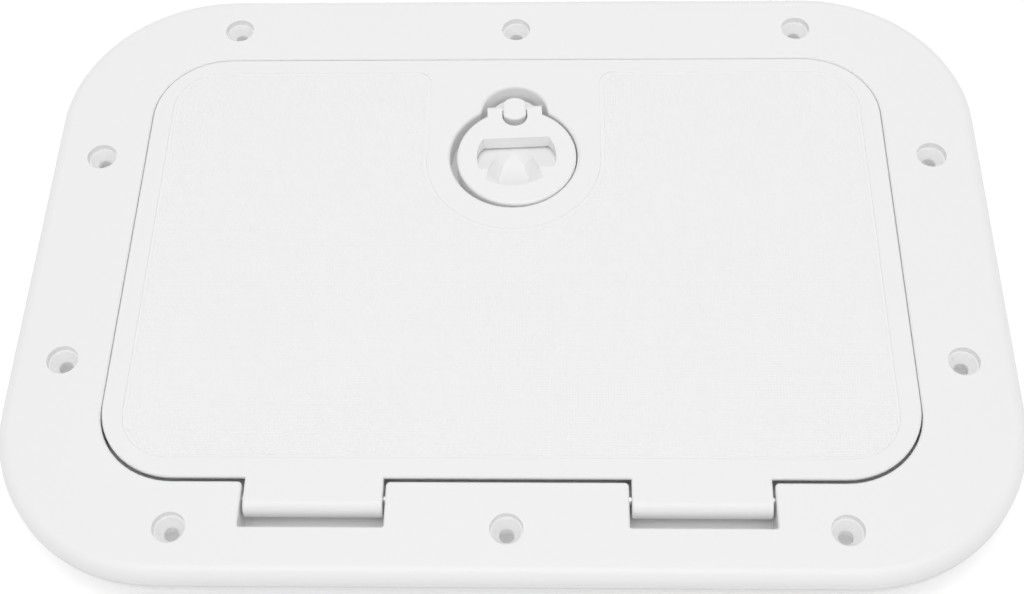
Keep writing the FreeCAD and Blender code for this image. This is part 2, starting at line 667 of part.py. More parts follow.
def handle_ramp(lift):
    """The room above the pocket's ramp, raised or lowered by a lift."""
    far_y = HANDLE_CENTRE_Y + POCKET_FAR_OFFSET
    slope = POCKET_DEPTH / RAMP_LENGTH
    low_z = HANDLE_TOP_Z - POCKET_DEPTH + lift
    past = 4 * POCKET_R
    top_z = HANDLE_TOP_Z + past
    points = (
        Vector(-past, far_y + past, low_z - slope * past),
        Vector(-past, far_y - past, low_z + slope * past),
        Vector(-past, far_y - past, top_z + past),
        Vector(-past, far_y + past, top_z + past),
    )
    face = Part.Face(Part.makePolygon(points + points[:1]))
    return face.extrude(Vector(2 * past, 0, 0))


def pocket_outline_block(grow, z_low, z_high):
    """The finger pocket's D outline: a circle with a straight far wall."""
    circle = post(0, HANDLE_CENTRE_Y, POCKET_R + grow, z_low, z_high)
    far_y = HANDLE_CENTRE_Y + POCKET_FAR_OFFSET + grow
    reach = 2 * POCKET_R
    keep = box(-reach, reach, HANDLE_CENTRE_Y - reach, far_y, z_low - PAST, z_high + PAST)
    return circle.common(keep)


def scoop_section(y, grow, floor_r):
    """The finger groove's section across one place: a flat floor, two leaning sides, an open top."""
    past_wall = HANDLE_CENTRE_Y + POCKET_FAR_OFFSET - y
    off_deepest = HANDLE_CENTRE_Y + SCOOP_DEEPEST_OFFSET - y
    ramp_depth = max(POCKET_DEPTH * (1 - past_wall / RAMP_LENGTH), 0)
    floor_depth = SCOOP_DEPTH - floor_r + math.sqrt(floor_r * floor_r - off_deepest * off_deepest)
    floor_half = SCOOP_FLOOR_HALF_WIDTH + SCOOP_FLOOR_SPREAD * past_wall
    rim_half = SCOOP_RIM_HALF_WIDTH + SCOOP_RIM_SPREAD * past_wall
    lean = (rim_half - floor_half) / (floor_depth - ramp_depth)
    low_half = floor_half - lean * SCOOP_PAST_FLOOR + grow
    low_z = HANDLE_TOP_Z - floor_depth - SCOOP_PAST_FLOOR - grow
    ramp_z = HANDLE_TOP_Z - ramp_depth
    high_z = HANDLE_TOP_Z + PAST
    corners = [
        Vector(-low_half, y, low_z), Vector(low_half, y, low_z),
        Vector(rim_half + grow, y, ramp_z), Vector(rim_half + grow, y, high_z),
        Vector(-rim_half - grow, y, high_z), Vector(-rim_half - grow, y, ramp_z)]
    return Part.makePolygon(corners + corners[:1])


def scoop_block(grow):
    """The finger groove: its sides lean out and spread to the handle's free end, on a round floor."""
    deepest_y = HANDLE_CENTRE_Y + SCOOP_DEEPEST_OFFSET
    run = SCOOP_DEEPEST_OFFSET + POCKET_R
    floor_r = (run * run + SCOOP_DEPTH * SCOOP_DEPTH) / (2 * SCOOP_DEPTH)
    far_y = HANDLE_CENTRE_Y + POCKET_FAR_OFFSET
    end_y = HANDLE_CENTRE_Y + SCOOP_END_OFFSET
    near_y = end_y - SCOOP_END_R - SCOOP_PAST_END
    step = (near_y - far_y) / (SCOOP_SECTIONS - 1)
    sections = [
        scoop_section(far_y + index * step, grow, floor_r) for index in range(SCOOP_SECTIONS)]
    walls = Part.makeLoft(sections, True, True)
    floor_z = HANDLE_TOP_Z - SCOOP_DEPTH + floor_r
    reach = 2 * POCKET_R
    floor = rod(-reach, reach, deepest_y, floor_z, floor_r + grow)
    circle = post(0, end_y, SCOOP_END_R + grow, HANDLE_BOTTOM_Z - PAST, TOP_Z + 2 * PAST)
    groove = walls.common(floor).common(circle)
    groove.translate(Vector(SCOOP_SIDE_SHIFT, 0, 0))
    return groove


def make_handle():
    """The latch handle: a hollow disc with ears, a notch for the spindle and a finger pocket."""
    disc = post(0, HANDLE_CENTRE_Y, HANDLE_R, HANDLE_BOTTOM_Z, HANDLE_TOP_Z)
    neck_z = HANDLE_PIN_Z - KNUCKLE_R
    neck = box(-EAR_HALF_WIDTH, EAR_HALF_WIDTH, -NECK_REACH, 0, neck_z, HANDLE_TOP_Z)
    knuckle = rod(-EAR_HALF_WIDTH, EAR_HALF_WIDTH, 0, HANDLE_PIN_Z, KNUCKLE_R)
    body = fuse([disc, neck, knuckle])
    rim = edges_where(body, lambda bounds: is_level_at(bounds, HANDLE_TOP_Z))
    rim = [edge for edge in rim if edge.BoundBox.YMin < HANDLE_CENTRE_Y]
    body = body.makeFillet(min(HANDLE_EDGE_R, 0.6 * HANDLE_SKIN), rim)

    hollow = post(0, HANDLE_CENTRE_Y, HANDLE_R - HANDLE_WALL, HANDLE_BOTTOM_Z - PAST,
                  HANDLE_TOP_Z - HANDLE_SKIN)
    kept_neck = box(-EAR_HALF_WIDTH, EAR_HALF_WIDTH, -NECK_REACH, 2 * KNUCKLE_R, neck_z, TOP_Z)
    bowl = pocket_outline_block(BOWL_WALL, HANDLE_BOTTOM_Z, HANDLE_TOP_Z - HANDLE_SKIN / 2)
    bowl = bowl.common(handle_ramp(-BOWL_WALL))
    groove_shell = scoop_block(BOWL_WALL).common(
        box(-HANDLE_R, HANDLE_R, -2 * HANDLE_R, 0, HANDLE_BOTTOM_Z, HANDLE_TOP_Z - HANDLE_SKIN / 2))
    body = body.cut(hollow.cut(fuse([kept_neck, bowl, groove_shell])))
    heel_room = post(0, 0, EAR_HALF_WIDTH, HANDLE_BOTTOM_Z - PAST, neck_z)
    body = body.cut(heel_room)

    pocket = pocket_outline_block(0, HANDLE_BOTTOM_Z - PAST, HANDLE_TOP_Z + PAST)
    pocket = pocket.common(handle_ramp(0))
    body = body.cut(pocket)
    crevice = pocket_outline_block(CREVICE_DEPTH, HANDLE_BOTTOM_Z, HANDLE_TOP_Z - HANDLE_SKIN / 2)
    crevice = crevice.common(handle_ramp(0)).cut(handle_ramp(CREVICE_HEIGHT))
    body = body.cut(crevice)
    body = body.cut(scoop_block(0))

    notch_half = HEAD_FLATS / 2 + NOTCH_SIDE_GAP
    notch_y = -NOTCH_REACH + notch_half
    notch = fuse([
        post(0, notch_y, notch_half, HANDLE_BOTTOM_Z - PAST, TOP_Z + PAST),
        box(-notch_half, notch_half, notch_y, 2 * KNUCKLE_R, HANDLE_BOTTOM_Z - PAST, TOP_Z + PAST)])
    body = body.cut(notch)
    pin_bore_r = HANDLE_PIN_D / 2 + HANDLE_PIN_GAP
    body = body.cut(rod(-HANDLE_R, HANDLE_R, 0, HANDLE_PIN_Z, pin_bore_r))
    return place_on_spindle(body)


def make_spindle():
    """The spindle: a flat-sided head with a level top, a shank, a square and a core hole."""
    head_low_z = PLINTH_Z + HEAD_FLOOR_GAP
    head = post(0, 0, HEAD_D / 2, head_low_z, HEAD_TOP_Z)
    flats = box(-HEAD_FLATS / 2, HEAD_FLATS / 2, -HEAD_D, HEAD_D, head_low_z, HEAD_TOP_Z)
    head = head.common(flats)
    top_rim = edges_where(head, lambda bounds: is_level_at(bounds, HEAD_TOP_Z))
    head = head.makeFillet(min(HEAD_EDGE_R, HEAD_FLATS / 8), top_rim)
    shank_low_z = CAM_TOP_Z + STACK_GAP
    shank = post(0, 0, SHANK_D / 2, shank_low_z, head_low_z + HEAD_FLOOR_GAP)
    groove_z = (CUP_BOTTOM_Z + BOSS_BOTTOM_Z) / 2
    half_groove = SPINDLE_SEAL_SECTION / 2 + STACK_GAP
    groove = post(0, 0, SHANK_D, groove_z - half_groove, groove_z + half_groove).cut(
        post(0, 0, spindle_seal_r() - SPINDLE_SEAL_SECTION - SPINDLE_SEAL_GAP,
             groove_z - SPINDLE_SEAL_SECTION, groove_z + SPINDLE_SEAL_SECTION))
    half = SQUARE_SIZE / 2
    square = box(-half, half, -half, half, CAM_BOTTOM_Z, shank_low_z + STACK_GAP)
    core = post(0, 0, SCREW_D / 2 + SCREW_CORE_GAP, CAM_BOTTOM_Z - PAST,
                SCREW_SEAT_Z + SCREW_LENGTH + STACK_GAP)
    cross = rod(-HEAD_D, HEAD_D, 0, HANDLE_PIN_Z, HANDLE_PIN_D / 2 + PIN_SEAT_GAP)
    body = fuse([head, shank.cut(groove), square])
    return place_on_spindle(body.cut(core).cut(cross))


def ring(outer_r, inner_r, z_low, z_high):
    """A flat ring about the spindle."""
    outside = post(0, LATCH_Y, outer_r, z_low, z_high)
    return outside.cut(post(0, LATCH_Y, inner_r, z_low - PAST, z_high + PAST))


def spindle_seal_r():
    """The seal's outer radius, set from the bore that it seals."""
    return SHANK_D / 2 + SHANK_BORE_GAP - SPINDLE_SEAL_GAP


def make_spindle_seal():
    """The square-cut rubber ring in the spindle's groove."""
    groove_z = (CUP_BOTTOM_Z + BOSS_BOTTOM_Z) / 2
    half = SPINDLE_SEAL_SECTION / 2
    outer_r = spindle_seal_r()
    return ring(outer_r, outer_r - SPINDLE_SEAL_SECTION, groove_z - half, groove_z + half)


def make_handle_pin():
    """The cross pin that the handle turns up on."""
    reach = EAR_HALF_WIDTH - HANDLE_PIN_INSET
    return place_on_spindle(rod(-reach, reach, 0, HANDLE_PIN_Z, HANDLE_PIN_D / 2))


def make_thrust_washer():
    """The plain washer under the lid's boss."""
    inner_r = SHANK_D / 2 + SHANK_BORE_GAP
    return ring(WASHER_D / 2, inner_r, THRUST_TOP_Z - THRUST_WASHER_THICKNESS, THRUST_TOP_Z)


def make_spring_washer():
    """The dished spring washer that keeps the cam under tension."""
    inner_r = SHANK_D / 2 + SHANK_BORE_GAP
    outer_r = WASHER_D / 2
    low_z = SPRING_TOP_Z - SPRING_WASHER_RISE - SPRING_WASHER_THICKNESS
    points = [
        Vector(inner_r, 0, SPRING_TOP_Z - SPRING_WASHER_THICKNESS),
        Vector(outer_r, 0, low_z),
        Vector(outer_r, 0, low_z + SPRING_WASHER_THICKNESS),
        Vector(inner_r, 0, SPRING_TOP_Z),
    ]
    face = Part.Face(Part.makePolygon(points + points[:1]))
    washer = face.revolve(Vector(0, 0, 0), UP, 360)
    washer.translate(Vector(0, LATCH_Y, 0))
    return washer


def make_cam():
    """The cam: a tapered arm on a square hole, with a raised tip that bears under the ledge."""
    hub = post(0, 0, CAM_HUB_R, CAM_BOTTOM_Z, CAM_TOP_Z)
    tip_z = LEDGE_BOTTOM_Z - CAM_LEDGE_GAP
    tip = post(CAM_REACH, 0, CAM_TIP_R, CAM_BOTTOM_Z, tip_z)
    tip_rim = edges_where(tip, lambda bounds: is_level_at(bounds, tip_z))
    tip = tip.makeChamfer(min(CAM_LEAD_IN, CAM_TIP_R / 3), tip_rim)
    lean = math.asin((CAM_HUB_R - CAM_TIP_R) / CAM_REACH)
    hub_x = CAM_HUB_R * math.sin(lean)
    hub_y = CAM_HUB_R * math.cos(lean)
    tip_x = CAM_REACH + CAM_TIP_R * math.sin(lean)
    tip_y = CAM_TIP_R * math.cos(lean)
    arm = polygon_block(
        [(hub_x, -hub_y), (tip_x, -tip_y), (tip_x, tip_y), (hub_x, hub_y)],
        CAM_BOTTOM_Z, CAM_TOP_Z)
    half = SQUARE_SIZE / 2 + SQUARE_GAP
    square = box(-half, half, -half, half, CAM_BOTTOM_Z - PAST, CAM_TOP_Z + PAST)
    return place_on_spindle(fuse([hub, tip, arm]).cut(square))


def make_cam_washer():
    """The washer under the cam screw's head."""
    head_corner_r = SCREW_HEAD_FLATS / math.sqrt(3)
    return ring(head_corner_r + CAM_WASHER_RIM, SCREW_D / 2 + SCREW_CORE_GAP,
                CAM_WASHER_TOP_Z - CAM_WASHER_THICKNESS, CAM_WASHER_TOP_Z)


def make_cam_screw():
    """The hexagon-head screw that holds the cam on the spindle."""
    head = flat_sided_block(0, 0, 6, SCREW_HEAD_FLATS, SCREW_SEAT_Z - SCREW_HEAD_HEIGHT, SCREW_SEAT_Z)
    shank = post(0, 0, SCREW_D / 2, SCREW_SEAT_Z - STACK_GAP, SCREW_SEAT_Z + SCREW_LENGTH)
    return place_on_spindle(fuse([head, shank]))


def build_parts():
    """Every piece by its node name."""
    return {
        "frame": make_frame(),
        "lid": make_lid(),
        "lid_seal": make_seal(),
        "hinge_pin_left": make_hinge_pin(-STRAP_X),
        "hinge_pin_right": make_hinge_pin(STRAP_X),
        "latch_handle": make_handle(),
        "handle_pin": make_handle_pin(),
        "latch_spindle": make_spindle(),
        "spindle_seal": make_spindle_seal(),
        "thrust_washer": make_thrust_washer(),
        "spring_washer": make_spring_washer(),
        "latch_cam": make_cam(),
        "cam_washer": make_cam_washer(),
        "cam_screw": make_cam_screw(),
    }


def main():
    """Writes one file for each piece and prints what it wrote."""
    os.makedirs("parts", exist_ok=True)
    for name, shape in build_parts().items():
        solid = shape.Solids[0] if len(shape.Solids) == 1 else shape
        solid.exportStep(os.path.join("parts", name + ".step"))
        bounds = solid.BoundBox
        print("%-16s solids %d valid %s volume %.0f z %.2f to %.2f" % (
            name, len(shape.Solids), solid.isValid(), solid.Volume, bounds.ZMin, bounds.ZMax))


main()
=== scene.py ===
"""Looks of a moulded deck access hatch: its finishes, its non-slip tread, the studio and the camera.

Metres. +X runs along the hinge line, +Y points from the hinges to the latch and +Z is up.
"""

import logging
import math
from dataclasses import dataclass, field
from enum import Enum

import bpy
from mathutils import Matrix, Vector


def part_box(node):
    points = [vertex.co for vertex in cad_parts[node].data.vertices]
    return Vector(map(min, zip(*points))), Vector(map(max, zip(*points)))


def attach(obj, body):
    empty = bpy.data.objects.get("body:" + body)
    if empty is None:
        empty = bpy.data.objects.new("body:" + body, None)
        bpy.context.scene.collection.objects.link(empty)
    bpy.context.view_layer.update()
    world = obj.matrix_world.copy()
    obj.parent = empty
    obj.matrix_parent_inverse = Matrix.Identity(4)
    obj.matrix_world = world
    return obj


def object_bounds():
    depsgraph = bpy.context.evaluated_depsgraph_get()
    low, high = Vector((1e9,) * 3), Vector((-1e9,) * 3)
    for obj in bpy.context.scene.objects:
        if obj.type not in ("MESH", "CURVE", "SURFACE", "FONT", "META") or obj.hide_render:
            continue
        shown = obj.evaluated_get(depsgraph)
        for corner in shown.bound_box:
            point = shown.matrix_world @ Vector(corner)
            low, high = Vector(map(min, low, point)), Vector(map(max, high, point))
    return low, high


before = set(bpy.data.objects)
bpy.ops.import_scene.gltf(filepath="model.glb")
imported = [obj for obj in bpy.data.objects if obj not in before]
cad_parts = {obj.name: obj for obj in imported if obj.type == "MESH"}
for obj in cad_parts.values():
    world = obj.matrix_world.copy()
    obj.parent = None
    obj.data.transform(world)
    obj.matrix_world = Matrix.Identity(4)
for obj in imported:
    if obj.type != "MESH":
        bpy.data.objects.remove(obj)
CAD_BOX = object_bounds()

MM = 0.001
GRAIN_SIZE = 0.4 * MM
RIPPLE_SIZE = 18 * MM
CLOUD_SIZE = 45 * MM
LINE_SIZE = 0.12 * MM
BLOTCH_SIZE = 3 * MM
LOG = logging.getLogger("hatch")
Colour = tuple[float, float, float]


class TurningLines(Enum):
    """How the fine lines left by the tool run on a steel piece."""

    AROUND_ROD = "around a rod that lies along X"
    AROUND_SPINDLE = "in rings about the spindle"


class NodeTree:
    """A small builder that adds and links the nodes of one shader tree."""

    def __init__(self, tree: bpy.types.NodeTree) -> None:
        """Starts on an empty or a new tree.

        Args:
            tree: the tree that gets the nodes.
        """
        self.tree = tree

    def add(self, kind: str, settings: dict[str, object] | None = None,
            inputs: dict[str | int, object] | None = None) -> bpy.types.Node:
        """Adds one node and fills or links its sockets.

        Args:
            kind: the node's type name.
            settings: properties of the node itself.
            inputs: values or output sockets, by the name or the number of the input.

        Returns:
            The new node.
        """
        node = self.tree.nodes.new(kind)
        for name, value in (settings or {}).items():
            setattr(node, name, value)
        for name, value in (inputs or {}).items():
            if isinstance(value, bpy.types.NodeSocket):
                self.tree.links.new(value, node.inputs[name])
            else:
                node.inputs[name].default_value = value
        return node

    def maths(self, operation: str, first: object, second: object = 0.0) -> bpy.types.NodeSocket:
        """Adds a maths node.

        Args:
            operation: what it does with its two values.
            first: the first value or socket.
            second: the second value or socket.

        Returns:
            The result's socket.
        """
        node = self.add("ShaderNodeMath", {"operation": operation}, {0: first, 1: second})
        return node.outputs[0]


def new_group(name: str, inputs: dict[str, float], outputs: tuple[str, ...]) -> NodeTree:
    """Starts a shader node group with a position input and named value sockets.

    Args:
        name: the group's name.
        inputs: the value inputs and their defaults.
        outputs: the names of the value outputs.

    Returns:
        A builder on the group's tree, with its input and output nodes in place.
    """
    group = bpy.data.node_groups.new(name, "ShaderNodeTree")
    group.interface.new_socket("Position", in_out="INPUT", socket_type="NodeSocketVector")
    for label, value in inputs.items():
        socket = group.interface.new_socket(label, in_out="INPUT", socket_type="NodeSocketFloat")
        socket.default_value = value
    for label in outputs:
        group.interface.new_socket(label, in_out="OUTPUT", socket_type="NodeSocketFloat")
    group.nodes.new("NodeGroupInput")
    group.nodes.new("NodeGroupOutput")
    return NodeTree(group)


def group_ends(builder: NodeTree) -> tuple[bpy.types.Node, bpy.types.Node]:
    """Finds a group's input and output nodes.

    Args:
        builder: the builder on the group.

    Returns:
        The input node and the output node.
    """
    nodes = builder.tree.nodes
    inlet = next(node for node in nodes if node.bl_idname == "NodeGroupInput")
    outlet = next(node for node in nodes if node.bl_idname == "NodeGroupOutput")
    return inlet, outlet


def moulded_skin_group() -> bpy.types.NodeTree:
    """Builds the skin of a moulding: fine grain, slow ripple and a cloudy tone.

    Returns:
        The node group, with sizes in metres and outputs from 0 to 1.
    """
    detail_levels = {"Grain": 2.0, "Ripple": 1.0, "Cloud": 3.0}
    builder = new_group(
        "Moulded Skin",
        {"Grain Size": GRAIN_SIZE, "Ripple Size": RIPPLE_SIZE, "Cloud Size": CLOUD_SIZE},
        tuple(detail_levels))
    inlet, outlet = group_ends(builder)
    for label, detail in detail_levels.items():
        scale = builder.maths("DIVIDE", 1.0, inlet.outputs[label + " Size"])
        noise = builder.add(
            "ShaderNodeTexNoise", {"noise_dimensions": "3D"},
            {"Vector": inlet.outputs["Position"], "Scale": scale, "Detail": detail, "Roughness": 0.5})
        builder.tree.links.new(noise.outputs["Fac"], outlet.inputs[label])
    return builder.tree


def turned_lines_group() -> bpy.types.NodeTree:
    """Builds the fine lines of turned or rolled steel, which vary along one coordinate.

    Returns:
        The node group: lines and slow blotches, both from 0 to 1.
    """
    builder = new_group(
        "Turned Lines", {"Line Size": LINE_SIZE, "Blotch Size": BLOTCH_SIZE}, ("Lines", "Blotches"))
    inlet, outlet = group_ends(builder)
    line_scale = builder.maths("DIVIDE", 1.0, inlet.outputs["Line Size"])
    split = builder.add("ShaderNodeSeparateXYZ", None, {0: inlet.outputs["Position"]})
    lines = builder.add(
        "ShaderNodeTexNoise", {"noise_dimensions": "1D"},
        {"W": split.outputs["X"], "Scale": line_scale, "Detail": 3.0, "Roughness": 0.6})
    blotch_scale = builder.maths("DIVIDE", 1.0, inlet.outputs["Blotch Size"])
    blotches = builder.add(
        "ShaderNodeTexNoise", {"noise_dimensions": "3D"},
        {"Vector": inlet.outputs["Position"], "Scale": blotch_scale, "Detail": 2.0})
    builder.tree.links.new(lines.outputs["Fac"], outlet.inputs["Lines"])
    builder.tree.links.new(blotches.outputs["Fac"], outlet.inputs["Blotches"])
    return builder.tree


@dataclass(frozen=True)
class MouldedFinish:
    """A moulded plastic or rubber skin."""

    name: str
    colour: Colour
    cloud_colour: Colour
    roughness_low: float
    roughness_high: float
    grain_size: float
    grain_depth: float
    ripple_depth: float
    edge_radius: float
    edge_samples: int = 6
    specular: float = 0.5
    ripple_size: float = RIPPLE_SIZE
    cloud_size: float = CLOUD_SIZE

    def material(self, skin: bpy.types.NodeTree) -> bpy.types.Material:
        """Makes the material.

        Args:
            skin: the shared moulded skin group.

        Returns:
            The new material.
        """
        made = bpy.data.materials.new(self.name)
        made.use_nodes = True
        builder = NodeTree(made.node_tree)
        shader = made.node_tree.nodes["Principled BSDF"]
        place = builder.add("ShaderNodeTexCoord")
        pattern = builder.add("ShaderNodeGroup", {"node_tree": skin}, {
            "Position": place.outputs["Object"],
            "Grain Size": self.grain_size,
            "Ripple Size": self.ripple_size,
            "Cloud Size": self.cloud_size,
        })
        colour = builder.add("ShaderNodeMix", {"data_type": "RGBA"}, {
            "Factor": pattern.outputs["Cloud"],
        })
        colour.inputs["A"].default_value = (*self.colour, 1.0)
        colour.inputs["B"].default_value = (*self.cloud_colour, 1.0)
        roughness = builder.add("ShaderNodeMapRange", None, {
            "Value": pattern.outputs["Grain"],
            "To Min": self.roughness_low,
            "To Max": self.roughness_high,
        })
        edge = builder.add(
            "ShaderNodeBevel", {"samples": self.edge_samples}, {"Radius": self.edge_radius})
        ripple = builder.add("ShaderNodeBump", None, {
            "Strength": 1.0,
            "Distance": self.ripple_depth,
            "Height": pattern.outputs["Ripple"],
            "Normal": edge.outputs["Normal"],
        })
        grain = builder.add("ShaderNodeBump", None, {
            "Strength": 1.0,
            "Distance": self.grain_depth,
            "Height": pattern.outputs["Grain"],
            "Normal": ripple.outputs["Normal"],
        })
        links = made.node_tree.links
        links.new(colour.outputs["Result"], shader.inputs["Base Color"])
        links.new(roughness.outputs["Result"], shader.inputs["Roughness"])
        links.new(grain.outputs["Normal"], shader.inputs["Normal"])
        shader.inputs["Specular IOR Level"].default_value = self.specular
        return made


@dataclass(frozen=True)
class SteelFinish:
    """Stainless steel with fine turning lines."""

    name: str
    lines: TurningLines
    colour: Colour = (0.72, 0.72, 0.71)
    worn_colour: Colour = (0.58, 0.58, 0.575)
    roughness_low: float = 0.18
    roughness_high: float = 0.36
    line_size: float = LINE_SIZE
    line_depth: float = 0.004 * MM
    spindle_place: tuple[float, float] = (0.0, 72.3 * MM)

    def along_lines(self, builder: NodeTree) -> bpy.types.NodeSocket:
        """Makes the coordinate whose first number runs across the lines.

        Args:
            builder: the builder on the material's tree.

        Returns:
            The vector socket.
        """
        place = builder.add("ShaderNodeTexCoord").outputs["Object"]
        if self.lines is TurningLines.AROUND_ROD:
            return place
        split = builder.add("ShaderNodeSeparateXYZ", None, {0: place})
        across = builder.maths("SUBTRACT", split.outputs["X"], self.spindle_place[0])
        ahead = builder.maths("SUBTRACT", split.outputs["Y"], self.spindle_place[1])
        square = builder.maths(
            "ADD", builder.maths("MULTIPLY", across, across), builder.maths("MULTIPLY", ahead, ahead))
        radius = builder.maths("SQRT", square)
        joined = builder.add(
            "ShaderNodeCombineXYZ", None, {0: radius, 1: across, 2: split.outputs["Z"]})
        return joined.outputs[0]

    def material(self, lines: bpy.types.NodeTree) -> bpy.types.Material:
        """Makes the material.

        Args:
            lines: the shared turned lines group.

        Returns:
            The new material.
        """
        made = bpy.data.materials.new(self.name)
        made.use_nodes = True
        builder = NodeTree(made.node_tree)
        shader = made.node_tree.nodes["Principled BSDF"]
        pattern = builder.add("ShaderNodeGroup", {"node_tree": lines}, {
            "Position": self.along_lines(builder),
            "Line Size": self.line_size,
        })
        colour = builder.add("ShaderNodeMix", {"data_type": "RGBA"}, {
            "Factor": pattern.outputs["Blotches"],
        })
        colour.inputs["A"].default_value = (*self.colour, 1.0)
        colour.inputs["B"].default_value = (*self.worn_colour, 1.0)
        roughness = builder.add("ShaderNodeMapRange", None, {
            "Value": pattern.outputs["Lines"],
            "To Min": self.roughness_low,
            "To Max": self.roughness_high,
        })
        bump = builder.add("ShaderNodeBump", None, {
            "Strength": 1.0,
            "Distance": self.line_depth,
            "Height": pattern.outputs["Lines"],
        })
        links = made.node_tree.links
        links.new(colour.outputs["Result"], shader.inputs["Base Color"])
        links.new(roughness.outputs["Result"], shader.inputs["Roughness"])
        links.new(bump.outputs["Normal"], shader.inputs["Normal"])
        shader.inputs["Metallic"].default_value = 1.0
        return made


@dataclass
class Palette:
    """Every finish of the hatch, made once and shared."""

    frame_plastic: bpy.types.Material = field(init=False)
    lid_plastic: bpy.types.Material = field(init=False)
    latch_plastic: bpy.types.Material = field(init=False)
    cam_plastic: bpy.types.Material = field(init=False)
    seal_rubber: bpy.types.Material = field(init=False)
    rod_steel: bpy.types.Material = field(init=False)
    dull_rod_steel: bpy.types.Material = field(init=False)
    washer_steel: bpy.types.Material = field(init=False)

    def __post_init__(self) -> None:
        """Builds the shared groups and every material."""
        skin = moulded_skin_group()
        lines = turned_lines_group()
        white = (0.942, 0.942, 0.942)
        white_cloud = (0.93, 0.93, 0.93)
        self.frame_plastic = MouldedFinish(
            "frame_plastic", colour=white, cloud_colour=white_cloud,
            roughness_low=0.34, roughness_high=0.42, grain_size=0.35 * MM, grain_depth=0.004 * MM,
            ripple_depth=0.02 * MM, edge_radius=0.25 * MM).material(skin)
        self.lid_plastic = MouldedFinish(
            "lid_plastic", colour=white, cloud_colour=white_cloud,
            roughness_low=0.38, roughness_high=0.48, grain_size=0.3 * MM, grain_depth=0.006 * MM,
            ripple_depth=0.02 * MM, edge_radius=0.2 * MM).material(skin)
        self.latch_plastic = MouldedFinish(
            "latch_plastic", colour=white, cloud_colour=white_cloud,
            roughness_low=0.3, roughness_high=0.38, grain_size=0.3 * MM, grain_depth=0.003 * MM,
            ripple_depth=0.008 * MM, edge_radius=0.25 * MM).material(skin)
        self.cam_plastic = MouldedFinish(
            "cam_plastic", colour=(0.028, 0.028, 0.03), cloud_colour=(0.045, 0.045, 0.047),
            roughness_low=0.42, roughness_high=0.62, grain_size=0.25 * MM, grain_depth=0.02 * MM,
            ripple_depth=0.01 * MM, edge_radius=0.2 * MM).material(skin)
        self.seal_rubber = MouldedFinish(
            "seal_rubber", colour=(0.018, 0.018, 0.019), cloud_colour=(0.032, 0.032, 0.033),
            roughness_low=0.62, roughness_high=0.82, grain_size=0.2 * MM, grain_depth=0.02 * MM,
            ripple_depth=0.03 * MM, edge_radius=0.3 * MM, specular=0.35).material(skin)
        self.rod_steel = SteelFinish("rod_steel", TurningLines.AROUND_ROD).material(lines)
        self.dull_rod_steel = SteelFinish(
            "dull_rod_steel", TurningLines.AROUND_ROD,
            colour=(0.4, 0.4, 0.4), worn_colour=(0.3, 0.3, 0.3),
            roughness_low=0.4, roughness_high=0.6).material(lines)
        self.washer_steel = SteelFinish(
            "washer_steel", TurningLines.AROUND_SPINDLE,
            roughness_low=0.28, roughness_high=0.5).material(lines)


def dress(node: str, material: bpy.types.Material) -> None:
    """Gives a carried-over piece its finish.

    Args:
        node: the piece's name.
        material: the finish.
    """
    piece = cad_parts[node]
    for material_slot in piece.material_slots:
        material_slot.material = material
    if not piece.material_slots:
        piece.data.materials.append(material)
    LOG.info("%s: %s", node, material.name)


@dataclass
class FrameMoulding:
    """The fixed frame with its flange, collar, ledge and hinge pockets."""

    node: str = "frame"

    def build(self, palette: Palette) -> None:
        """Dresses the frame.

        Args:
            palette: the finishes.
        """
        dress(self.node, palette.frame_plastic)


@dataclass
class Hinges:
    """The two steel pins in the frame's pockets."""

    nodes: tuple[str, ...] = ("hinge_pin_left", "hinge_pin_right")

    def build(self, palette: Palette) -> None:
        """Dresses the pins.

        Args:
            palette: the finishes.
        """
        for node in self.nodes:
            dress(node, palette.rod_steel)


